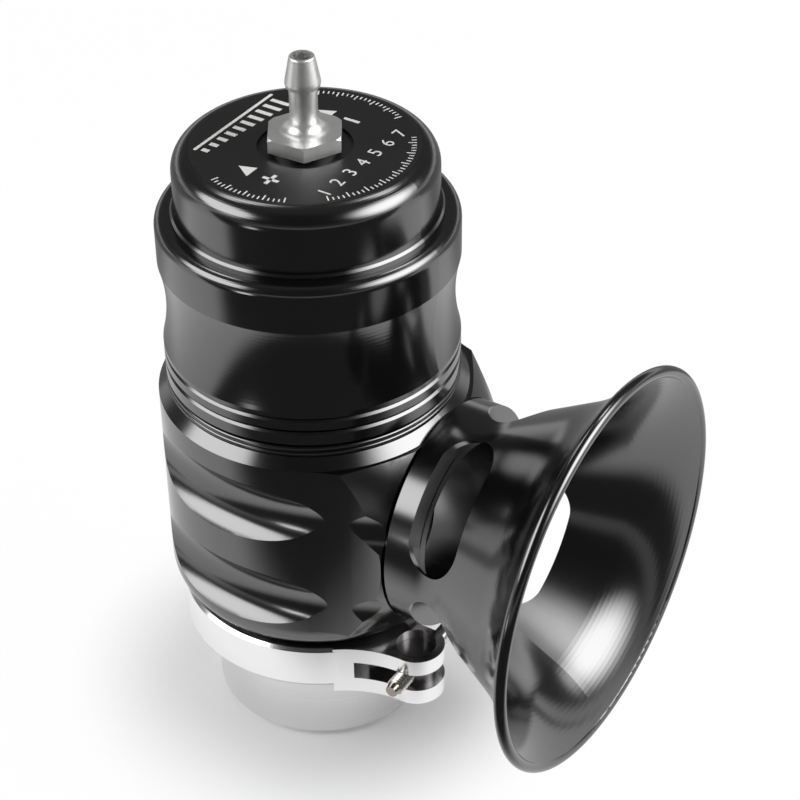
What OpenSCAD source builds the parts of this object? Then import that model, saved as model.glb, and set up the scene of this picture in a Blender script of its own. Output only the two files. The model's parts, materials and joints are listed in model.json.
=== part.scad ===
// Blow off valve with a trumpet outlet, on a clamped weld flange.
// Sizes in mm. z = 0 is the open foot of the weld flange, +z runs up the valve, +x runs out of the trumpet.

/* [Inlet] */
// outside of the weld flange
base_d = 48; // [44:0.5:50]
// wall of the weld flange, inside which lies the inlet's bore
base_t = 4; // [3.4:0.1:5]
// height of the plane where the body stands on the weld flange
joint_z = 26; // [22:0.5:30]
// thickness of each of the two flanges inside the clamp
vee_t = 4; // [3.4:0.1:4.4]
// outside of those flanges
vee_d = 54.8; // [54:0.2:55.6]

/* [Clamp] */
// outside of the clamp ring
clamp_d = 61.2; // [60:0.2:64]
// thickness of the clamp's upper and lower lips
lip_t = 2; // [1.6:0.1:2.6]
// screw of the clamp
screw_d = 4; // [3.5:0.5:5]
// distance of the screw from the valve's axis
screw_x = 33; // [32:0.5:35]
// distance of each lug's barrel from the clamp's split
lug_y = 12.7; // [11.5:0.1:14]
// barrel in each lug
barrel_d = 8.4; // [7.6:0.1:9]

/* [Body] */
// outside of the body
body_d = 65.4; // [64.4:0.2:67.6]
// height of the outlet's axis
outlet_z = 60.2; // [58:0.2:62]
// bore of the outlet
outlet_d = 33; // [28:0.5:34]
// top of the body's shoulder, where the neck starts
shoulder_z = 84.2; // [83:0.1:86]
// wall of the threaded neck, around the piston's bore
neck_t = 3.6; // [3.2:0.1:4.2]
// how far the neck stands above the shoulder
neck_h = 27.8; // [26:0.2:29]
// width of the seat that the shut piston rests on
seat_w = 5; // [4.2:0.1:6]
// depth of the flat cut on the barrel's front for the trumpet
flat_cut = 0.7; // [0.4:0.1:1.2]
// half the width of the boss that carries that flat
flat_w = 24.4; // [23.4:0.1:25.4]
// depth of the scoops on the body's flanks
scoop_depth = 4.15; // [3:0.05:4.4]
// height of the upper scoop
scoop_z = 69.8; // [69:0.2:71]
// distance from one scoop to the next
scoop_step = 22.6; // [20:0.2:23.4]

/* [Trumpet] */
// outside of the throat
throat_d = 48.8; // [48:0.2:52]
// wall of the trumpet
wall = 2.2; // [1.8:0.1:2.6]
// length of the plain throat before it flares
throat_len = 8.1; // [7.8:0.1:10]
// slope of the bell
bell_slope = 27.3; // [24:0.1:31]
// length of the straight part of the bell, along the slope
bell_len = 14.4; // [11:0.1:18]
// width of the four slots in the throat
slot_w = 12.4; // [10:0.1:12.6]
// length of each slot around the throat
slot_len = 29.4; // [24:0.2:30]

/* [Cap] */
// outside of the cap's crown
cap_d = 53.3; // [52.6:0.1:54.6]
// outside of the cap's flange and skirt, inside which neck and bore follow by their walls
skirt_d = 61.6; // [56:0.1:63]
// wall of the skirt
skirt_t = 2.12; // [1.8:0.02:2.6]
// length of the skirt and flange
skirt_h = 30.7; // [29.8:0.1:32]
// height of the crown above the flange
crown_h = 13.8; // [13:0.1:16]
// thickness of the crown's roof
roof_t = 4.8; // [4:0.1:5.6]
// rounding of the crown's edge
crown_round = 4.3; // [3:0.1:5]

/* [Hose barb] */
// hexagon of the hose barb, across flats
hex_af = 14.29; // [12.7:0.01:15]
// washer under the hexagon
washer_d = 14.2; // [13.6:0.1:15]
// stem of the barb
stem_d = 5.6; // [5:0.1:6]
// widest ring of the barb
barb_d = 7.1; // [6.6:0.1:7.6]
// height of the barb above its hexagon
barb_h = 15.9; // [14:0.1:18]

/* [Piston and springs] */
// lift of the piston
lift = 16; // [12:0.5:16]
// wire of the outer spring
wire_d = 3; // [2.4:0.1:3.2]
// room between the piston's wall and the outer spring
coil_gap = 2.95; // [2.8:0.05:4]
// turns of the outer spring
turns = 8; // [6:1:9]
// wire of the inner spring
wire2_d = 2; // [1.6:0.1:2.2]
// room between the outer and the inner spring
coil2_gap = 3.5; // [1:0.1:5]

/* [Hidden] */
$fn = 96;
// radial clearance of threads and of running fits
run = 0.05;
thread_gap = 0.08;
// axial gap between pieces that turn next to each other
gap = 0.3;

base_r = base_d / 2;
inlet_r = base_r - base_t;
vee_r = vee_d / 2;
clamp_r = clamp_d / 2;
clamp_z = joint_z - vee_t - lip_t;
clamp_h = 2 * (vee_t + lip_t);
foot_z = clamp_z + clamp_h + 0.4;
screw_r = screw_d / 2;
barrel_r = barrel_d / 2;
lug_r = barrel_r + 1.9;
skirt_r = skirt_d / 2;
cap_in = skirt_r - skirt_t;
neck_r = cap_in - thread_gap;
bore_r = neck_r - neck_t;
seat_r = bore_r - seat_w;
body_r = body_d / 2;
flat_x = body_r - flat_cut;
rear_x = flat_x + gap;
outlet_r = outlet_d / 2;
spigot_r = outlet_r + 2.5;
spigot_len = 5.2;
neck_top = shoulder_z + neck_h;
seat_z = joint_z + 14;
chamber_r = bore_r + 0.4;
guide_z = outlet_z + outlet_r + 5.6;
bead_h = 2.4;
ring_b_z = shoulder_z + bead_h + gap;
ring_b_h = 3.3;
ring_a_z = ring_b_z + ring_b_h + gap;
ring_a_h = 2.7;
ring_r = skirt_r;
cap_z = ring_a_z + ring_a_h + gap;
cap_r = cap_d / 2;
flange_top = cap_z + skirt_h;
cap_top = flange_top + crown_h;
roof_z = cap_top - roof_t;
crown_in = cap_r - 3;
skirt_in_top = neck_top + 0.8;
o_r = 1.2;
piston_r = bore_r - run;
piston_in = piston_r - 2.5;
piston_z = seat_z + 0.4;
floor_z = piston_z + 6;
piston_top = neck_top - lift - 0.2;
washer_t = 1;
recess = 0.6;
hex_z = cap_top - recess + washer_t;
hex_h = 3;
hex_top = hex_z + hex_h;
shank_r = 4.85;
washer_r = washer_d / 2;
recess_r = washer_r + 2.4;
seat_t = 2;
seat_bot = roof_z - seat_t;
throat_r = throat_d / 2;
coil_r = piston_in - coil_gap - wire_d / 2;
coil2_r = coil_r - wire_d / 2 - coil2_gap - wire2_d / 2;
slot_x = rear_x + throat_len + 3.3;

// ring of rectangular section between two radii and two heights
module band(r1, r2, z1, z2) {
    rotate_extrude() translate([r1, z1]) square([r2 - r1, z2 - z1]);
}

// round section ring
module oring(r, z, s) {
    rotate_extrude() translate([r, z]) circle(r = s, $fn = 32);
}

// lies a piece drawn along z down along x at the height of the outlet
module along_outlet() {
    translate([0, 0, outlet_z]) rotate([0, 90, 0]) children();
}

// lies a piece drawn along z along -y at the clamp's screw
module along_screw() {
    translate([screw_x, 0, joint_z]) rotate([90, 0, 0]) children();
}

module weld_flange() {
    color("silver") rotate_extrude() difference() {
        polygon([[inlet_r, 0], [base_r - 1.6, 0], [base_r, 1.6], [base_r, joint_z - vee_t],
            [vee_r - 0.4, joint_z - vee_t], [vee_r, joint_z - vee_t + 0.4], [vee_r, joint_z],
            [inlet_r, joint_z]]);
        translate([seal_r - o_r - 0.1, joint_z - 2 * o_r]) square([2 * o_r + 0.2, 3 * o_r]);
    }
}

// O-ring between weld flange and body
seal_r = (inlet_r + vee_r) / 2 - 0.4;
module flange_seal() {
    color("black") oring(seal_r, joint_z - o_r, o_r);
}

// lug: an eye around the barrel, led into the ring by a hollow on its outer side
lug_sweep = 24;
lug_d = norm([screw_x, lug_y]);
lug_a = atan2(lug_y, screw_x)
    + acos((pow(clamp_r + lug_sweep, 2) + lug_d * lug_d - pow(lug_r + lug_sweep, 2))
        / (2 * (clamp_r + lug_sweep) * lug_d));
module clamp_lug(s) {
    hollow = (clamp_r + lug_sweep) * [cos(lug_a), s * sin(lug_a)];
    translate([0, 0, clamp_z]) linear_extrude(height = clamp_h) {
        translate([screw_x, s * lug_y]) circle(r = lug_r);
        difference() {
            polygon([[0, 0], [screw_x, s * lug_y], hollow]);
            translate(hollow) circle(r = lug_sweep + 0.05);
        }
        polygon([[base_r - 3, s * (lug_y - lug_r)], [screw_x, s * (lug_y - lug_r)], [screw_x, s * lug_y],
            [base_r - 3, s * lug_y]]);
    }
}

module clamp_ring() {
    color("silver") difference() {
        union() {
            rotate_extrude() polygon([[base_r, clamp_z], [clamp_r - 2, clamp_z], [clamp_r, clamp_z + 2.4],
                [clamp_r, clamp_z + clamp_h - 0.7], [clamp_r - 0.7, clamp_z + clamp_h],
                [base_r, clamp_z + clamp_h]]);
            clamp_lug(1);
            clamp_lug(-1);
        }
        band(0, vee_r + 0.3, joint_z - vee_t, joint_z + vee_t);
        translate([0, 0, clamp_z - 1]) cylinder(r = base_r + 0.4, h = clamp_h + 2);
        translate([0, -lug_y + lug_r - 0.5, clamp_z - 1]) cube([60, 2 * (lug_y - lug_r + 0.5), clamp_h + 2]);
        for (s = [-1, 1]) translate([screw_x, s * lug_y, clamp_z - 1])
            cylinder(r = barrel_r + run, h = clamp_h + 2);
        // slot out of which the screw can swing
        translate([screw_x - 10.3, -40, joint_z - screw_r - 0.2]) cube([40, 80, screw_d + 0.4]);
        along_screw() translate([0, 0, -40]) cylinder(r = 2 * screw_r + 0.4, h = 40 - head_y);
    }
}

// socket head screw, its thread cut as rings, its end past the front lug
head_y = lug_y + lug_r - 0.6;
screw_end = lug_y + lug_r + 4.1;
pitch = 0.7;
module clamp_screw() {
    color("silver") along_screw() difference() {
        union() {
            translate([0, 0, -head_y - washer_t - screw_d]) cylinder(r = 1.75 * screw_r - 0.1, h = screw_d);
            translate([0, 0, -head_y - washer_t - 0.1]) cylinder(r = screw_r - run, h = head_y + lug_y - 6);
            rotate_extrude() polygon(concat([[0, -8], [screw_r - 0.45, -8]],
                [for (i = [0:floor((screw_end + 7) / pitch) - 1], k = [0, 1])
                    [k == 0 ? screw_r - run : screw_r - 0.45, -7.6 + pitch * (i + k / 2)]],
                [[screw_r - 0.7, screw_end], [0, screw_end]]));
        }
        translate([0, 0, -head_y - washer_t - screw_d - 0.1]) cylinder(r = screw_r * 0.92, h = 3, $fn = 6);
    }
}

module screw_washer() {
    color("silver") along_screw() translate([0, 0, -head_y - washer_t]) difference() {
        cylinder(r = 2 * screw_r, h = washer_t);
        translate([0, 0, -1]) cylinder(r = screw_r + 0.05, h = washer_t + 2);
    }
}

module barrel(s, hole) {
    difference() {
        translate([screw_x, s * lug_y, clamp_z + 2.4]) cylinder(r = barrel_r, h = clamp_h - 4.8);
        along_screw() cylinder(r = hole, h = 80, center = true);
    }
}

module barrel_nut() {
    color("dimgray") barrel(-1, screw_r);
}

module plain_barrel() {
    color("dimgray") barrel(1, screw_r + run);
}

// one level scoop around a flank: a wide ring that bites most in the middle and fades out at its ends
module scoop(s, z) {
    s_r = 8.5;
    ring = 71.7;
    translate([4.3, -s * (ring - s_r - body_r + scoop_depth), z])
        rotate_extrude() translate([ring, 0]) circle(r = s_r);
}

// solid of revolution: flange in the clamp, foot with a round edge, barrel, bevelled shoulder, beads, neck
foot_round = 7;
bevel = 2.1;
bevel_z = shoulder_z - bevel;
module body_turned() {
    rotate_extrude() {
        translate([0, joint_z]) square([vee_r, vee_t]);
        translate([0, joint_z]) square([base_r, foot_z - joint_z + 1]);
        translate([0, foot_z]) square([body_r - foot_round, 10]);
        translate([body_r - foot_round, foot_z + foot_round]) circle(r = foot_round);
        polygon([[0, foot_z + foot_round], [body_r, foot_z + foot_round], [body_r, bevel_z],
            [body_r - bevel, shoulder_z], [0, shoulder_z]]);
        translate([0, shoulder_z - 1]) square([ring_r - 0.5, 1 + bead_h]);
        for (i = [0, 1]) translate([ring_r - 0.6, shoulder_z + 0.6 + 1.2 * i]) circle(r = 0.6, $fn = 32);
        polygon(concat([[0, shoulder_z], [neck_r - 0.6, shoulder_z]],
            [for (i = [0:15], k = [0, 1]) [k == 0 ? neck_r : neck_r - 0.5,
                shoulder_z + bead_h + 0.75 + 1.5 * i + 0.75 * k]],
            [[neck_r - 0.5, neck_top - 0.4], [neck_r - 1, neck_top], [0, neck_top]]));
    }
}

// boss of the outlet: led out of the barrel by a hollow on each side, its end turned to a cone
boss_sweep = 30;
boss_slope = 1.05;
module outlet_boss() {
    y = flat_w + boss_sweep;
    x = sqrt(pow(body_r + boss_sweep, 2) - y * y);
    intersection() {
        translate([0, 0, foot_z + foot_round]) linear_extrude(height = bevel_z - foot_z - foot_round)
            for (s = [-1, 1]) difference() {
                polygon([[0, 0], [x, s * y], [flat_x + 1, s * y], [flat_x + 1, -s]]);
                translate([x, s * y]) circle(r = boss_sweep);
            }
        along_outlet() cylinder(r1 = throat_r + boss_slope * flat_x, r2 = throat_r - boss_slope, h = flat_x + 1);
    }
}

module body_outline() {
    difference() {
        union() {
            body_turned();
            outlet_boss();
        }
        translate([flat_x, -body_r, foot_z]) cube([body_r, body_d, shoulder_z - foot_z]);
    }
    // spigot of the outlet
    along_outlet() {
        cylinder(r = spigot_r, h = rear_x + spigot_len - 0.4);
        cylinder(r1 = spigot_r, r2 = spigot_r - 0.4, h = rear_x + spigot_len);
    }
}

module valve_body() {
    color("black") difference() {
        body_outline();
        // passage from the weld flange's bore to the seat, chamber, piston's bore
        translate([0, 0, joint_z - 1]) cylinder(r = inlet_r, h = foot_z - joint_z + 2);
        translate([0, 0, foot_z + 1]) cylinder(r1 = inlet_r, r2 = seat_r, h = seat_z - foot_z - 1);
        translate([0, 0, seat_z - 0.1]) cylinder(r = seat_r, h = 1);
        band(0, chamber_r, seat_z, guide_z);
        translate([0, 0, guide_z - 1]) cylinder(r = bore_r, h = 60);
        translate([0, 0, guide_z - 3]) cylinder(r1 = chamber_r, r2 = bore_r, h = 3);
        along_outlet() translate([0, 0, 4]) cylinder(r = outlet_r, h = 60);
        for (s = [-1, 1], i = [0, 1]) scoop(s, scoop_z - scoop_step * i);
        band(0, band_r, band_z, band_z + band_h);
        band(neck_r - 1.7, neck_r + 1, neck_seal_z - 1.05, neck_seal_z + 1.05);
        along_outlet() band(spigot_r - 1.6, spigot_r + 1, seal_x - 1.05, seal_x + 1.05);
        along_outlet() band(spigot_r - 0.8, spigot_r + 1, clip_x - 0.7, clip_x + 0.7);
    }
}

// bell of revolution along the outlet, one smooth curve: throat, fillet, straight slope, turned-out mouth
bell_fillet = 13;
mouth_round = 24;
mouth_angle = 63;
fil_c = [throat_r + bell_fillet, rear_x + throat_len];
p1 = fil_c + bell_fillet * [-cos(bell_slope), sin(bell_slope)];
p2 = p1 + bell_len * [sin(bell_slope), cos(bell_slope)];
end_c = p2 + mouth_round * [cos(bell_slope), -sin(bell_slope)];
function bell_curve(t) = concat(
    [for (i = [0:10]) let (a = bell_slope * i / 10) fil_c + (bell_fillet + t) * [-cos(a), sin(a)]],
    [for (i = [0:16]) let (a = bell_slope + (mouth_angle - bell_slope) * i / 16)
        end_c + (mouth_round + t) * [-cos(a), sin(a)]]);
function reversed(v) = [for (i = [len(v) - 1:-1:0]) v[i]];

module trumpet() {
    bead = 1.25;
    lip = end_c + (mouth_round + wall / 2) * [-cos(mouth_angle), sin(mouth_angle)];
    color("black") along_outlet() difference() {
        rotate_extrude() {
            polygon(concat([[throat_r - 0.5, rear_x], [throat_r, rear_x + 0.5]], bell_curve(0),
                reversed(bell_curve(wall)), [[throat_r - wall, rear_x + spigot_len + 0.2],
                [spigot_r + run, rear_x + spigot_len + 0.2], [spigot_r + run, rear_x]]));
            translate(lip) circle(r = bead, $fn = 48);
        }
        for (k = [0:3]) rotate([0, 0, 90 * k + 45]) translate([0, 0, slot_x]) rotate([90, 0, 90])
            translate([0, 0, spigot_r - 6]) linear_extrude(height = 30) {
                square([slot_len - slot_w, slot_w], center = true);
                for (s = [-1, 1]) translate([s * (slot_len - slot_w) / 2, 0]) circle(r = slot_w / 2);
            }
        band(spigot_r - 1, spigot_r + 0.8, clip_x - 0.7, clip_x + 0.7);
    }
}

// O-ring and wire clip between spigot and trumpet
seal_x = rear_x + 1.9;
clip_x = rear_x + 4;
module trumpet_seal() {
    color("black") along_outlet() oring(spigot_r - 0.75, seal_x, 0.78);
}

module trumpet_clip() {
    color("silver") along_outlet() rotate([0, 0, 200]) rotate_extrude(angle = 320)
        translate([spigot_r, clip_x]) circle(r = 0.65, $fn = 24);
}

module lock_ring(z, h) {
    c = 0.45;
    difference() {
        rotate_extrude() polygon([[cap_in, z], [ring_r - c, z], [ring_r, z + c],
            [ring_r, z + h - c], [ring_r - c, z + h], [cap_in, z + h]]);
        for (a = [70, 110]) rotate([0, 0, a]) translate([neck_r - 2, 0, z + h / 2]) rotate([0, 90, 0])
            cylinder(r = 0.8, h = 10, $fn = 24);
    }
}

module lock_ring_upper() {
    color("black") lock_ring(ring_a_z, ring_a_h);
}

module lock_ring_lower() {
    color("black") lock_ring(ring_b_z, ring_b_h);
}

// slide band let into the bore at the foot of the neck
band_z = shoulder_z + 0.1;
band_h = 5;
band_r = bore_r + 1.2;
module guide_band() {
    color("white") band(bore_r - 0.01, band_r, band_z, band_z + band_h);
}

// O-ring between neck and cap
neck_seal_z = neck_top - 2.2;
module neck_seal() {
    color("black") oring(neck_r - 0.82, neck_seal_z, 0.82 + thread_gap / 2);
}

// cup piston, open at the top, with a seal in its foot
module piston() {
    color("silver") rotate_extrude() difference() {
        polygon([[0, piston_z], [piston_r - 0.6, piston_z], [piston_r, piston_z + 0.6],
            [piston_r, piston_top - 0.5], [piston_r - 0.5, piston_top], [piston_in, piston_top],
            [piston_in, floor_z + coil_gap], [piston_in - coil_gap, floor_z], [0, floor_z]]);
        translate([seat_seal_r - o_r - 0.1, piston_z - 1]) square([2 * o_r + 0.2, 1 + 2 * o_r - 0.4]);
        translate([piston_r - 1.7, piston_seal_z - 1.05]) square([3, 2.1]);
        // dish in the underside
        translate([0, piston_z - 0.5]) square([seat_r - 2, 2.5]);
    }
}

piston_seal_z = piston_top - 3;
module piston_seal() {
    color("black") oring(piston_r - 0.83, piston_seal_z, 0.85);
}

seat_seal_r = (seat_r + piston_r) / 2;
module seat_seal() {
    color("black") oring(seat_seal_r, seat_z + o_r, o_r);
}

// coil spring with one closed turn at each end
module coil(rm, rw, z1, z2, n) {
    seg = 20;
    k = 8;
    steps = n * seg;
    dead = 2 * rw * 1.04;
    free_h = z2 - z1 - 2 * rw - 2 * dead;
    function zc(i) = let (t = i / seg) t < 1 ? dead * t :
        t > n - 1 ? dead + free_h + dead * (t - n + 1) : dead + free_h * (t - 1) / (n - 2);
    pts = [for (i = [0:steps], j = [0:k - 1])
        let (a = 360 * i / seg, b = 360 * j / k, r = rm + rw * cos(b))
        [r * cos(a), r * sin(a), z1 + rw + zc(i) + rw * sin(b)]];
    faces = concat([[for (j = [0:k - 1]) j]], [[for (j = [k - 1:-1:0]) steps * k + j]],
        [for (i = [0:steps - 1], j = [0:k - 1])
            let (a = i * k + j, b = i * k + (j + 1) % k) [a, a + k, b + k, b]]);
    polyhedron(points = pts, faces = faces, convexity = 10);
}

module outer_spring() {
    color("gray") coil(coil_r, wire_d / 2, floor_z, seat_bot, turns);
}

module inner_spring() {
    color("gray") coil(coil2_r, wire2_d / 2, floor_z, seat_bot, turns + 3);
}

module spring_seat() {
    color("silver") difference() {
        translate([0, 0, seat_bot]) cylinder(r = crown_in - 0.3, h = seat_t);
        translate([0, 0, seat_bot - 1]) cylinder(r = shank_r + 0.4, h = seat_t + 2);
    }
}

// points of an arc about a centre, from one angle to another
function arc(c, r, a1, a2, n) = [for (i = [0:n]) let (a = a1 + (a2 - a1) * i / n) c + r * [cos(a), sin(a)]];

module cap() {
    waist = 1.21;
    w_half = (skirt_h - 11.5) / 2;
    w_r = (w_half * w_half + waist * waist) / (2 * waist);
    w_a = asin(w_half / w_r);
    ledge_z = flange_top - 0.2;
    lip_w = min(0.8, (skirt_r - cap_r) / 5);
    edge = min(2.3, skirt_r - cap_r - lip_w - 0.2);
    color("black") rotate_extrude() difference() {
        // skirt with its waist, rounded flange, ledge, bevelled lip, crown with a rounded edge
        polygon(concat([[0, cap_z], [skirt_r - 0.3, cap_z], [skirt_r, cap_z + 0.3]],
            arc([skirt_r - waist + w_r, cap_z + 1.3 + w_half], w_r, 180 + w_a, 180 - w_a, 20),
            arc([skirt_r - edge, ledge_z - edge], edge, 0, 90, 12),
            [[cap_r + lip_w, ledge_z], [cap_r + lip_w, ledge_z + 0.6], [cap_r + lip_w / 2, ledge_z + 1.1],
            [cap_r, ledge_z + 1.1]],
            arc([cap_r - crown_round, cap_top - crown_round], crown_round, 0, 90, 18), [[0, cap_top]]));
        translate([-1, cap_z - 1]) square([cap_in + 1, skirt_in_top - cap_z + 1]);
        translate([-1, cap_z]) square([crown_in + 1, roof_z - cap_z]);
        translate([-1, roof_z - 1]) square([shank_r + thread_gap + 1, 20]);
        translate([-1, cap_top - recess]) square([recess_r + 1, 5]);
    }
}

module hose_barb() {
    stem_r = stem_d / 2;
    barb_r = barb_d / 2;
    tip = hex_top + barb_h;
    color("silver") difference() {
        union() {
            intersection() {
                translate([0, 0, hex_z]) rotate([0, 0, 3]) cylinder(r = hex_af / sqrt(3), h = hex_h, $fn = 6);
                translate([0, 0, hex_z]) cylinder(r1 = hex_af / 2 + 3.6, r2 = hex_af / 2 + 0.6, h = hex_h);
            }
            rotate_extrude() {
                translate([0, roof_z - seat_t + 0.3]) square([shank_r, hex_z - roof_z + seat_t]);
                difference() {
                    translate([0, hex_top - 0.1]) square([stem_r + 2.4, 2.5]);
                    translate([stem_r + 2.4, hex_top + 2.4]) circle(r = 2.4, $fn = 48);
                }
                polygon([[0, hex_top], [stem_r, hex_top], [stem_r, tip - 6.6], [barb_r - 0.15, tip - 6.4],
                    [barb_r, tip - 5.6], [barb_r - 0.05, tip - 5], [stem_r - 0.25, tip - 0.2],
                    [stem_r - 0.45, tip], [0, tip]]);
            }
        }
        translate([0, 0, roof_z - 10]) cylinder(r = stem_r - 1, h = 60);
    }
}

module barb_washer() {
    color("silver") band(shank_r + thread_gap, washer_r, cap_top - recess, hex_z);
}

weld_flange();
flange_seal();
clamp_ring();
clamp_screw();
screw_washer();
barrel_nut();
plain_barrel();
valve_body();
trumpet();
trumpet_seal();
trumpet_clip();
lock_ring_upper();
lock_ring_lower();
guide_band();
neck_seal();
piston();
piston_seal();
seat_seal();
outer_spring();
inner_spring();
spring_seat();
cap();
hose_barb();
barb_washer();
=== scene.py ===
import json
import math

import bmesh
import bpy
from mathutils import Matrix, Vector


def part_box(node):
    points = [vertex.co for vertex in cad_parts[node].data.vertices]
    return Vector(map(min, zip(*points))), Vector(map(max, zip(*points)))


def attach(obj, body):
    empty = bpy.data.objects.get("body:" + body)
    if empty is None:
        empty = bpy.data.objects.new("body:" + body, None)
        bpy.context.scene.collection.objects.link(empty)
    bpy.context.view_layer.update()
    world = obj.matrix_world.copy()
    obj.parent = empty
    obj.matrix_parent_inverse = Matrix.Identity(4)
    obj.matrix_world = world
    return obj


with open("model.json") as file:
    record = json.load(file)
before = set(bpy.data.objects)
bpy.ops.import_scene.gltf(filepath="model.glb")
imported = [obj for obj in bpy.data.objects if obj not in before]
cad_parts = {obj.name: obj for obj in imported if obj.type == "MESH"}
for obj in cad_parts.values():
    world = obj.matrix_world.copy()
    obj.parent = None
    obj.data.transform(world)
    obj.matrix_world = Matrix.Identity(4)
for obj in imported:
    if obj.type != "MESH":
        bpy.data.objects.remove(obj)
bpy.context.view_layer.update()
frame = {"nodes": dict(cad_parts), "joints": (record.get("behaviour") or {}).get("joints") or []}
nodes = frame["nodes"]


# Weld flange: the ring at the foot, turned from aluminium bar and left satin from the lathe.
# It is welded to a boost pipe round its bevelled edge, and its own O-ring lies in its top face.
class Shade:
    """One output in a node tree. Sums, products and comparisons of these add Math nodes."""

    def __init__(self, tree, socket=None):
        self.tree = tree
        self.socket = socket

    def node(self, kind, settings, sockets, out=0):
        """Any node: its settings are set first, then the values or links of its sockets."""
        made = self.tree.nodes.new(kind)
        for name, value in settings.items():
            setattr(made, name, value)
        for name, value in sockets.items():
            if isinstance(value, Shade):
                self.tree.links.new(value.socket, made.inputs[name])
            else:
                made.inputs[name].default_value = value
        return Shade(self.tree, made.outputs[out]) if len(made.outputs) else None

    def math(self, operation, *values):
        return self.node("ShaderNodeMath", {"operation": operation}, dict(enumerate(values)))

    def __add__(self, other):
        return self.math("ADD", self, other)

    def __sub__(self, other):
        return self.math("SUBTRACT", self, other)

    def __rsub__(self, other):
        return self.math("SUBTRACT", other, self)

    def __mul__(self, other):
        return self.math("MULTIPLY", self, other)

    def __gt__(self, other):
        return self.math("GREATER_THAN", self, other)

    def __lt__(self, other):
        return self.math("LESS_THAN", self, other)

    __radd__ = __add__
    __rmul__ = __mul__

    def between(self, low, high):
        """This value of 0 to 1, carried to a range."""
        return low + (high - low) * self

    def vector(self, operation, *values, out=0):
        """A Vector Math node. One that gives a number has it at the output named Value."""
        settings = {"operation": operation}
        return self.node("ShaderNodeVectorMath", settings, dict(enumerate(values)), out)

    def split(self, vector):
        """The x, y and z of a vector."""
        return [self.node("ShaderNodeSeparateXYZ", {}, {0: vector}, out=way) for way in "XYZ"]

    def noise(self, where, scale, detail):
        return self.node(
            "ShaderNodeTexNoise", {}, {"Vector": where, "Scale": scale, "Detail": detail}
        )

    def blend(self, factor, low, high):
        """A colour between two colours."""
        return self.node(
            "ShaderNodeMix", {"data_type": "RGBA"}, {0: factor, 6: low, 7: high}, out=2
        )

    def spread(self, value, low, high, to_low, to_high):
        """A value carried smoothly from one range to another."""
        return self.node(
            "ShaderNodeMapRange",
            {"interpolation_type": "SMOOTHSTEP"},
            {0: value, 1: low, 2: high, 3: to_low, 4: to_high},
        )

    def bump(self, height, strength, depth):
        """A surface normal that follows a height."""
        return self.node(
            "ShaderNodeBump", {}, {"Strength": strength, "Distance": depth, "Height": height}
        )


def new_finish(name):
    """An empty material, with the place of a point on the part in metres."""
    made = bpy.data.materials.new(name)
    made.use_nodes = True
    made.node_tree.nodes.clear()
    start = Shade(made.node_tree)
    place = start.node("ShaderNodeTexCoord", {}, {}, out="Object")
    return made, start, place


def close_finish(start, sockets):
    """The shader of a finish and its output."""
    shader = start.node("ShaderNodeBsdfPrincipled", {}, sockets)
    start.node("ShaderNodeOutputMaterial", {}, {"Surface": shader})


VALVE_AXIS = (0.0, 0.0, 0.0)
RADIUS_SHARE = 0.35


def lathe_rings(start, place, pitch, axis=VALVE_AXIS, along_x=False):
    """Fine turning lines: noise over height and radius alone, so it runs in rings about the axis.
    The radius counts for less than the height, so the lines lie wider apart on flat faces."""
    x, y, z = start.split(start.vector("SUBTRACT", place, axis))
    height, across = (x, z) if along_x else (z, x)
    radius = start.math("SQRT", across * across + y * y)
    ring = start.node("ShaderNodeCombineXYZ", {}, {0: RADIUS_SHARE * radius, 1: height, 2: 0.0})
    return start.noise(ring, scale=1 / pitch, detail=3.0)


VALLEY_SHADE = 0.86


def satin_metal(name, colour, rough, pitch, ridge):
    """Bare turned metal, darker in the valleys of its lines and a little cloudy in its sheen."""
    made, start, place = new_finish(name)
    rings = lathe_rings(start, place, pitch)
    cloud = start.noise(place, scale=60.0, detail=3.0)
    valley = [VALLEY_SHADE * channel for channel in colour]
    close_finish(
        start,
        {
            "Base Color": start.blend(rings, (*valley, 1), (*colour, 1)),
            "Metallic": 1.0,
            "Roughness": rough + cloud.between(-0.05, 0.05) + rings.between(-0.04, 0.04),
            "Normal": start.bump(rings, strength=ridge, depth=0.0001),
        },
    )
    return made


def paint(node, finish):
    """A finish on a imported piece."""
    slots = nodes[node].data.materials
    slots.clear()
    slots.append(finish)


flange_satin = satin_metal("flange_satin", (0.86, 0.86, 0.87), rough=0.24, pitch=0.0005, ridge=0.08)
paint("weld_flange", flange_satin)


# Flange seal and the other O-rings: black nitrile cord, moulded, dull with a faint bloom.
# They lie in grooves of the weld flange, the neck, the outlet's spigot and the piston.
RUBBER_BLACK = (0.010, 0.010, 0.010, 1)
RUBBER_BLOOM = (0.030, 0.030, 0.030, 1)


def moulded_rubber():
    made, start, place = new_finish("o_ring_rubber")
    bloom = start.noise(place, scale=900.0, detail=4.0)
    grain = start.noise(place, scale=6000.0, detail=2.0)
    close_finish(
        start,
        {
            "Base Color": start.blend(bloom, RUBBER_BLACK, RUBBER_BLOOM),
            "Roughness": bloom.between(0.45, 0.75),
            "Normal": start.bump(grain, strength=0.3, depth=0.00005),
        },
    )
    return made


rubber = moulded_rubber()
for ring in ("flange_seal", "neck_seal", "trumpet_seal", "piston_seal", "seat_seal"):
    paint(ring, rubber)


# Clamp ring: a split ring machined from bar and polished bright, with two lugs that a screw draws
# together. Its inside is a channel that grips the flanges of the weld flange and the body.
CLAMP_SMEARED = (0.86, 0.86, 0.87, 1)
CLAMP_BRIGHT = (0.93, 0.93, 0.93, 1)


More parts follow.
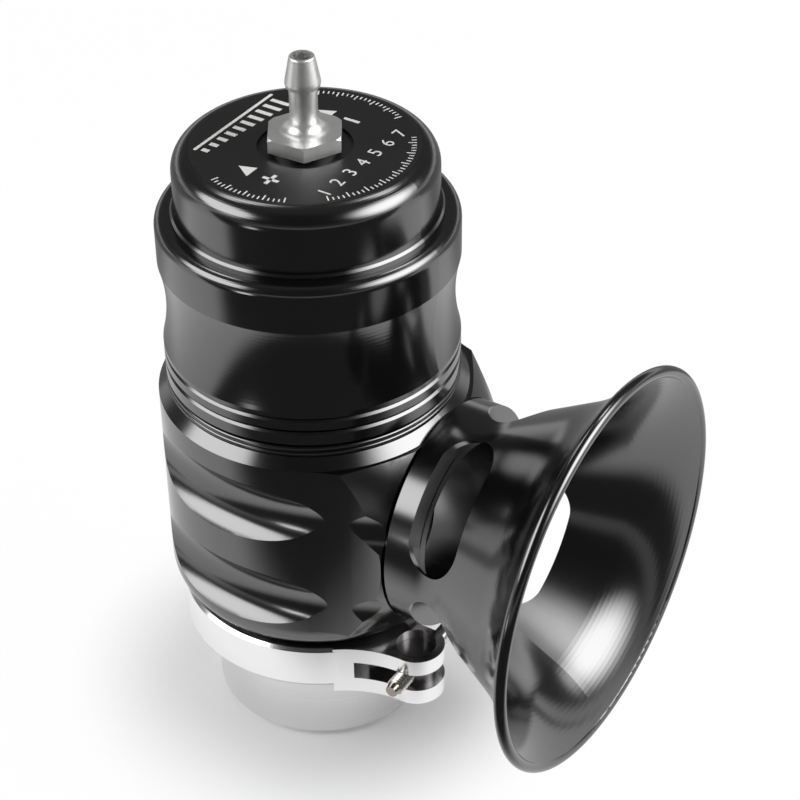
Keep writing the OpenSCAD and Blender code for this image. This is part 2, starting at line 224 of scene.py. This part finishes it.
def polished_metal():
    made, start, place = new_finish("clamp_polish")
    rings = lathe_rings(start, place, pitch=0.0004)
    smear = start.noise(place, scale=140.0, detail=4.0)
    close_finish(
        start,
        {
            "Base Color": start.blend(smear, CLAMP_SMEARED, CLAMP_BRIGHT),
            "Metallic": 1.0,
            "Roughness": smear.between(0.14, 0.22),
            "Normal": start.bump(rings, strength=0.06, depth=0.00005),
        },
    )
    return made


paint("clamp_ring", polished_metal())


# Clamp screw and its washer: a small socket head screw of zinc plated steel. The plating is warm
# and dull in patches, and the thread has a painted highlight on its crests and painted shade in its
# root.
# Radii where the thread's painted shade gives way to its painted highlight, and that highlight's
# strength.
THREAD_ROOT = 0.00158
THREAD_CREST = 0.00188
CREST_PAINTED_HIGHLIGHT = 1.3
ACROSS_SCREW = (1, 0, 1)
ZINC_BRIGHT = (0.93, 0.93, 0.92, 1)
ZINC_DULL = (0.76, 0.76, 0.75)
WARM_LOSS = (0.40, 0.44, 0.48)


def plated_metal(name, warm, rough, thread_axis=None):
    """Zinc plate. Its dull places turn browner as warm goes to 1. Where a point on the thread's axis
    is given, that dull colour fills the thread's root as painted shade, and a painted highlight lies
    on the crests."""
    made, start, place = new_finish(name)
    grain = start.noise(place, scale=3500.0, detail=3.0)
    bright = start.noise(place, scale=420.0, detail=3.0)
    if thread_axis is not None:
        off_axis = start.vector("MULTIPLY", start.vector("SUBTRACT", place, thread_axis), ACROSS_SCREW)
        radius = start.vector("LENGTH", off_axis, out="Value")
        # painted highlight on the thread's crests and painted shade in its root, set by the distance
        # from the screw's axis
        bright = bright * start.spread(radius, THREAD_ROOT, THREAD_CREST, 0.0, CREST_PAINTED_HIGHLIGHT)
    dull = [plain - loss * warm for plain, loss in zip(ZINC_DULL, WARM_LOSS)]
    close_finish(
        start,
        {
            "Base Color": start.blend(bright, (*dull, 1), ZINC_BRIGHT),
            "Metallic": 1.0,
            "Roughness": grain.between(rough, rough + 0.16),
            "Normal": start.bump(grain, strength=0.35, depth=0.00004),
        },
    )
    return made


screw_turn = next(j for j in frame["joints"] if j["name"] == "screw_turn")
screw_plate = plated_metal("screw_plate", warm=1.0, rough=0.20, thread_axis=screw_turn["pos_m"])
paint("clamp_screw", screw_plate)
paint("screw_washer", plated_metal("washer_plate", warm=0.3, rough=0.24))


# Barrel nut and plain barrel: two short cross pins of blued steel in the lugs, one tapped for the
# screw and one plain, so that the screw pulls straight as the clamp closes.
blued_steel = satin_metal("blued_steel", (0.16, 0.15, 0.15), rough=0.35, pitch=0.0004, ridge=0.3)
paint("barrel_nut", blued_steel)
paint("plain_barrel", blued_steel)


# Valve body: aluminium, milled and polished before a black anodise, so it shines like lacquer.
# Its flanks carry two arched scoops each, and its neck has a thread for the cap.
ANODISE_DEEP = (0.0010, 0.0010, 0.0011, 1)
ANODISE_HAZE = (0.0022, 0.0022, 0.0024, 1)
GLOSS_IOR = 2.1
SATIN_IOR = 1.5
RING_ROUGH = 0.03


def black_anodise(name, axis=VALVE_AXIS, along_x=False, satin_face=None):
    """Gloss black, and satin where the mask that satin_face makes is 1."""
    made, start, place = new_finish(name)
    rings = lathe_rings(start, place, 0.0006, axis, along_x)
    haze = start.noise(place, scale=90.0, detail=4.0)
    layer = {
        "Base Color": start.blend(haze, ANODISE_DEEP, ANODISE_HAZE),
        "Normal": start.bump(rings, strength=0.03, depth=0.00005),
    }
    gloss = {"Roughness": haze.between(0.12, 0.17) + RING_ROUGH * rings, "IOR": GLOSS_IOR}
    surface = start.node("ShaderNodeBsdfPrincipled", {}, layer | gloss)
    if satin_face is not None:
        satin = {"Roughness": haze.between(0.42, 0.54), "IOR": SATIN_IOR}
        dull = start.node("ShaderNodeBsdfPrincipled", {}, layer | satin)
        mask = satin_face(start, place)
        surface = start.node("ShaderNodeMixShader", {}, {0: mask, 1: surface, 2: dull})
    start.node("ShaderNodeOutputMaterial", {}, {"Surface": surface})
    return made


upright_black = black_anodise("upright_black")
paint("valve_body", upright_black)


# Trumpet: a spun and turned bell of the same black aluminium, with a bead rolled on its mouth and
# four slots in its throat. It turns on the outlet's spigot and a wire clip keeps it there.
swivel = next(j for j in frame["joints"] if j["name"] == "trumpet_swivel")
outlet_axis = (0.0, 0.0, swivel["pos_m"][2])
paint("trumpet", black_anodise("trumpet_black", outlet_axis, along_x=True))


# Wire clip and springs: drawn spring steel wire, grey, with light and dark patches from the die.
# The clip snaps into a groove of the spigot, and the springs stand one inside the other.
WIRE_DARK = (0.20, 0.20, 0.21, 1)
WIRE_LIGHT = (0.42, 0.42, 0.43, 1)


def drawn_wire():
    made, start, place = new_finish("drawn_wire")
    patch = start.noise(place, scale=1800.0, detail=4.0)
    close_finish(
        start,
        {
            "Base Color": start.blend(patch, WIRE_DARK, WIRE_LIGHT),
            "Metallic": 1.0,
            "Roughness": patch.between(0.28, 0.46),
        },
    )
    return made


wire = drawn_wire()
for coil in ("trumpet_clip", "outer_spring", "inner_spring"):
    paint(coil, wire)


# Lock rings: two thin black rings on the neck's thread, run up against the cap to hold its
# setting. Two small holes in each rim take a pin spanner.
for ring in ("lock_ring_upper", "lock_ring_lower"):
    paint(ring, upright_black)


# Guide band: a strip of pale slide plastic, cut to length and let into the bore at the neck's
# foot. The piston runs on it and doesn't touch the aluminium.
PLASTIC_DARK = (0.66, 0.62, 0.52, 1)
PLASTIC_PALE = (0.80, 0.77, 0.68, 1)


def slide_plastic():
    made, start, place = new_finish("slide_plastic")
    fleck = start.noise(place, scale=2500.0, detail=3.0)
    close_finish(
        start,
        {
            "Base Color": start.blend(fleck, PLASTIC_DARK, PLASTIC_PALE),
            "Roughness": fleck.between(0.5, 0.7),
        },
    )
    return made


paint("guide_band", slide_plastic())


# Piston: an aluminium cup, turned and hard coated to a grey satin. It carries one seal round its
# side and one in its foot, and lifts off the seat against two springs.
piston_satin = satin_metal("piston_satin", (0.66, 0.66, 0.66), rough=0.34, pitch=0.0004, ridge=0.3)
paint("piston", piston_satin)


# Spring seat: a turned steel disc, zinc plated, that lies under the cap's roof and takes the
# upper ends of both springs.
paint("spring_seat", plated_metal("seat_plate", warm=0.3, rough=0.28))


# Cap: turned from bar with a waisted skirt and a round crown, polished and anodised black.
# It screws down on the neck to preload the springs, and its flat top is left satin for the print.
# The recess for the hose barb, sunk in that top, is satin too.
crown_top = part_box("cap")[1].z
FACE_MARGIN = 0.00003
RECESS_WITHIN = 0.0105
RECESS_BELOW = 0.006


def printed_face(start, place):
    """1 on the crown's flat top and down in its recess, and 0 elsewhere."""
    level = crown_top - FACE_MARGIN
    x, y, z = start.split(place)
    radius = start.math("SQRT", x * x + y * y)
    recess = (radius < RECESS_WITHIN) * (z > level - RECESS_BELOW)
    return start.math("MAXIMUM", z > level, recess)


paint("cap", black_anodise("cap_black", satin_face=printed_face))


# Cap's print: pale ink, screen printed on the crown. Ticks and plain numbers make a dial round the
# rim, and two arrows show which way to turn for more (+) and for less (-).
INK_THIN = (0.50, 0.50, 0.49, 1)
INK_FULL = (0.78, 0.78, 0.76, 1)
INK_T = 0.00002


def pale_ink():
    made, start, place = new_finish("pale_ink")
    screen = start.noise(place, scale=5200.0, detail=2.0)
    close_finish(
        start,
        {
            "Base Color": start.blend(screen, INK_THIN, INK_FULL),
            "Roughness": screen.between(0.42, 0.62),
        },
    )
    return made


ink = pale_ink()


def ink_piece(name, outlines):
    """Thin closed plates of ink on the crown, one for each flat outline."""
    mesh = bmesh.new()
    for outline in outlines:
        low = [mesh.verts.new((x, y, crown_top)) for x, y in outline]
        high = [mesh.verts.new((x, y, crown_top + INK_T)) for x, y in outline]
        mesh.faces.new(high)
        mesh.faces.new(low[::-1])
        for i in range(len(outline)):
            j = (i + 1) % len(outline)
            mesh.faces.new((low[i], low[j], high[j], high[i]))
    bmesh.ops.recalc_face_normals(mesh, faces=mesh.faces)
    data = bpy.data.meshes.new(name)
    mesh.to_mesh(data)
    mesh.free()
    piece = bpy.data.objects.new(name, data)
    bpy.context.scene.collection.objects.link(piece)
    data.materials.append(ink)
    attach(piece, "cap_unit")


def polar(radius, degrees):
    turn = math.radians(degrees)
    return radius * math.cos(turn), radius * math.sin(turn)


def bar(x1, y1, x2, y2, width):
    """A straight stroke between two points."""
    run = Vector((x2 - x1, y2 - y1)).normalized() * width / 2
    side = (-run.y, run.x)
    return [
        (x1 + side[0], y1 + side[1]),
        (x1 - side[0], y1 - side[1]),
        (x2 - side[0], y2 - side[1]),
        (x2 + side[0], y2 + side[1]),
    ]


# Each arc of ticks: its first and last angle in degrees, and the radius of its outer ends.
TICK_ARCS = ((-110, -66, 0.0221), (-44, 40, 0.0219), (62, 118, 0.0217))
TICK_STEP = 2.75
TICK_LONG = 0.0017
TICK_SHORT = 0.0010
TICK_WIDTH = 0.00028
LONG_EVERY = 4
tick_outlines = []
for first, last, rim in TICK_ARCS:
    count = int((last - first) / TICK_STEP)
    for i in range(count + 1):
        at = first + TICK_STEP * i
        length = TICK_LONG if i % LONG_EVERY == 0 else TICK_SHORT
        tick_outlines.append(bar(*polar(rim, at), *polar(rim - length, at), TICK_WIDTH))
ink_piece("dial_ticks", tick_outlines)

# Level bars: a rule along one side of the crown, and ten bars beside it that grow in length.
RULE_X = -0.0172
RULE_REACH = 0.0132
RULE_WIDTH = 0.0007
LEVEL_COUNT = 10
LEVEL_X = -0.0160
LEVEL_Y = -0.0122
LEVEL_STEP = 0.0026
LEVEL_LENGTH = 0.0016
LEVEL_GROWTH = 0.00032
LEVEL_WIDTH = 0.0011
level_outlines = [bar(RULE_X, -RULE_REACH, RULE_X, RULE_REACH, RULE_WIDTH)]
for i in range(LEVEL_COUNT):
    y = LEVEL_Y + LEVEL_STEP * i
    level_outlines.append(bar(LEVEL_X, y, LEVEL_X + LEVEL_LENGTH + LEVEL_GROWTH * i, y, LEVEL_WIDTH))
ink_piece("level_bars", level_outlines)

# Turning marks: an arrow head and a sign on each side, given by their own few points.
SIGN_WIDTH = 0.0008
more_head = [(-0.0062, -0.0136), (-0.0026, -0.0160), (-0.0026, -0.0124)]
more_across = bar(0.0002, -0.0146, 0.0038, -0.0146, SIGN_WIDTH)
more_upright = bar(0.0020, -0.0164, 0.0020, -0.0128, SIGN_WIDTH)
ink_piece("turn_for_more", [more_head, more_across, more_upright])
less_head = [(-0.0056, 0.0126), (-0.0020, 0.0110), (-0.0020, 0.0142)]
less_across = bar(0.0008, 0.0126, 0.0044, 0.0126, SIGN_WIDTH)
ink_piece("turn_for_less", [less_head, less_across])

DIGIT_H = 0.0042
DIGIT_X = 0.0136
FIRST_DIGIT_Y = -0.0132
DIGIT_STEP = 0.0044
for number in range(1, 8):
    name = f"dial_number_{number}"
    curve = bpy.data.curves.new(name, "FONT")
    curve.body = str(number)
    curve.size = DIGIT_H
    curve.align_x = "CENTER"
    curve.align_y = "CENTER"
    curve.extrude = INK_T / 2
    text = bpy.data.objects.new(name, curve)
    bpy.context.scene.collection.objects.link(text)
    along = FIRST_DIGIT_Y + DIGIT_STEP * (number - 1)
    text.matrix_world = (
        Matrix.Translation((DIGIT_X, along, crown_top + INK_T / 2))
        @ Matrix.Rotation(math.radians(90), 4, "Z")
    )
    bpy.context.view_layer.update()
    flat = bpy.data.meshes.new_from_object(text.evaluated_get(bpy.context.evaluated_depsgraph_get()))
    flat.transform(text.matrix_world)
    flat.name = name
    bpy.data.objects.remove(text)
    digit = bpy.data.objects.new(name, flat)
    bpy.context.scene.collection.objects.link(digit)
    flat.materials.clear()
    flat.materials.append(ink)
    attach(digit, "cap_unit")


# Hose barb and its washer: the barb is steel, turned from hexagon bar and zinc plated, with a fine
# matt grain. It screws into the crown over a black washer, and a vacuum hose pushes over its ring.
paint("hose_barb", plated_metal("barb_plate", warm=0.0, rough=0.32))
paint("barb_washer", upright_black)


# Stage: a white paper sweep, large soft boxes left and right, two narrow ones high behind for the
# rims, and a small card low on the left for the scoops. In mirror images alone the sweep carries a
# painted reflection that fades to dark in front, and that painted dark is what the black pieces show
# there.
FACING = math.radians(32.86)
TOWARD = Vector((math.sin(FACING), -math.cos(FACING), 0.0))
RIGHT = Vector((math.cos(FACING), math.sin(FACING), 0.0))
BLACK = (0.0, 0.0, 0.0, 1)
WHITE = (1.0, 1.0, 1.0, 1)
PAPER = (0.88, 0.88, 0.88, 1)
SWEEP_SIZE = 12

# Places on the paper, in metres from the valve's axis, and the glow at each.
# The front and back runs paint the sweep's image in mirrors: dark in front, and dimmer behind.
FRONT_RUN = (0.045, 0.090)
FRONT_GLOW = (0.97, 0.04)
FRONT_BEND = 0.14
BACK_RUN = (-0.16, -0.08)
BACK_GLOW = (0.3, 1.0)
SHADOW_RUN = (0.022, 0.062)
SHADOW_GLOW = (0.15, 0.98)


def sweep_paper():
    """Paper that is white to the eye, with its own shadow close round the foot."""
    made, start, place = new_finish("sweep_paper")
    seen, glossy, through = (
        start.node("ShaderNodeLightPath", {}, {}, out=f"Is {kind} Ray")
        for kind in ("Camera", "Glossy", "Transmission")
    )
    ahead, aside = (start.vector("DOT_PRODUCT", place, way, out="Value") for way in (TOWARD, RIGHT))
    away = start.vector("LENGTH", place, out="Value")
    bent = ahead - FRONT_BEND * start.math("ABSOLUTE", aside)
    # Painted reflection: in glossy and transmission rays alone, the paper's glow fades to dark in
    # front and dims behind.
    mirrored = start.spread(bent, *FRONT_RUN, *FRONT_GLOW) * start.spread(ahead, *BACK_RUN, *BACK_GLOW)
    shine = start.blend(seen + (glossy + through) * mirrored, BLACK, WHITE)
    glow = start.node("ShaderNodeEmission", {}, {"Color": shine, "Strength": 1.0})
    paper = start.node("ShaderNodeBsdfDiffuse", {}, {"Color": PAPER})
    share = (seen + glossy + through) * start.spread(away, *SHADOW_RUN, *SHADOW_GLOW)
    mixed = start.node("ShaderNodeMixShader", {}, {0: share, 1: paper, 2: glow})
    start.node("ShaderNodeOutputMaterial", {}, {"Surface": mixed})
    return made


bpy.ops.mesh.primitive_plane_add(size=SWEEP_SIZE)
floor = bpy.context.object
floor.name = "sweep"
floor.data.materials.append(sweep_paper())

# The room: pale low down, dark above and dimmer on the camera's side, but white to the eye.
UP = (0, 0, 1)
RISE_RUN = (0.08, 0.24)
RISE_GLOW = (0.9, 0.10)
NEAR_RUN = (0.0, 0.5)
NEAR_GLOW = (1.0, 0.4)
world = bpy.data.worlds.new("studio")
bpy.context.scene.world = world
world.use_nodes = True
world.node_tree.nodes.clear()
sky = Shade(world.node_tree)
aim = sky.node("ShaderNodeTexCoord", {}, {}, out="Generated")
rise, near = (sky.vector("DOT_PRODUCT", aim, way, out="Value") for way in (UP, TOWARD))
room = sky.spread(rise, *RISE_RUN, *RISE_GLOW) * sky.spread(near, *NEAR_RUN, *NEAR_GLOW)
level = sky.math("MAXIMUM", room, sky.node("ShaderNodeLightPath", {}, {}, out="Is Camera Ray"))
back = sky.node(
    "ShaderNodeBackground", {}, {"Color": sky.blend(level, BLACK, WHITE), "Strength": 1.0}
)
sky.node("ShaderNodeOutputWorld", {}, {"Surface": back})

LAMPS_AIM = Vector((0.01, 0.0, 0.08))
CLOTH_MIDDLE = (0.5, 0.5, 0.0)


def soft_box(name, turn, rise, away, width, height, level, even):
    """A soft box that faces the valve: turn is its angle right of the camera, rise its height.
    Its cloth is bright over the even share of its half width, and fades from there to its edge."""
    turn = math.radians(turn)
    rise = math.radians(rise)
    flat = RIGHT * math.sin(turn) + TOWARD * math.cos(turn)
    way = flat * math.cos(rise) + Vector((0, 0, math.sin(rise)))
    data = bpy.data.lights.new(name, "AREA")
    data.shape = "RECTANGLE"
    data.size = width
    data.size_y = height
    data.energy = math.pi * width * height * level
    data.use_nodes = True
    data.node_tree.nodes.clear()
    cloth = Shade(data.node_tree)
    spot = cloth.node("ShaderNodeNewGeometry", {}, {}, out="Parametric")
    edge = cloth.vector("DISTANCE", spot, CLOTH_MIDDLE, out="Value")
    shine = cloth.blend(cloth.spread(edge, even / 2, 0.5, 1.0, 0.0), BLACK, WHITE)
    glow = cloth.node("ShaderNodeEmission", {}, {"Color": shine, "Strength": 1.0})
    cloth.node("ShaderNodeOutputLight", {}, {"Surface": glow})
    lamp = bpy.data.objects.new(name, data)
    bpy.context.scene.collection.objects.link(lamp)
    lamp.location = LAMPS_AIM + way * away
    lamp.rotation_mode = "QUATERNION"
    lamp.rotation_quaternion = way.to_track_quat("Z", "Y")
    lamp.visible_camera = False


soft_box("left_box", -76, 34, away=0.9, width=0.95, height=0.66, level=4.6, even=0.65)
soft_box("right_box", 76, 34, away=0.9, width=1.30, height=1.05, level=7.5, even=0.25)
for side, turn in (("left", -146), ("right", 146)):
    soft_box(f"rim_box_{side}", turn, 58, away=0.9, width=0.45, height=0.22, level=4, even=0.5)
soft_box("low_card", -44, -3, away=0.28, width=0.07, height=0.04, level=5, even=0.6)

# Camera, solved from the edges of round pieces in the photograph.
CAMERA_AT = (0.2198, -0.3072, 0.3540)
PITCH = math.radians(36.43)
ROLL = math.radians(-0.68)
LENS_PX = 2208.54
PICTURE_PX = 800
SENSOR_MM = 36
NEAREST = 0.01
lens = bpy.data.cameras.new("camera")
lens.sensor_width = SENSOR_MM
lens.lens = LENS_PX / PICTURE_PX * SENSOR_MM
lens.clip_start = NEAREST
camera = bpy.data.objects.new("camera", lens)
bpy.context.scene.collection.objects.link(camera)
camera.location = CAMERA_AT
camera.rotation_euler = (
    Matrix.Rotation(FACING, 3, "Z")
    @ Matrix.Rotation(math.pi / 2 - PITCH, 3, "X")
    @ Matrix.Rotation(ROLL, 3, "Z")
).to_euler()
bpy.context.scene.camera = camera
bpy.context.scene.view_settings.view_transform = "Standard"
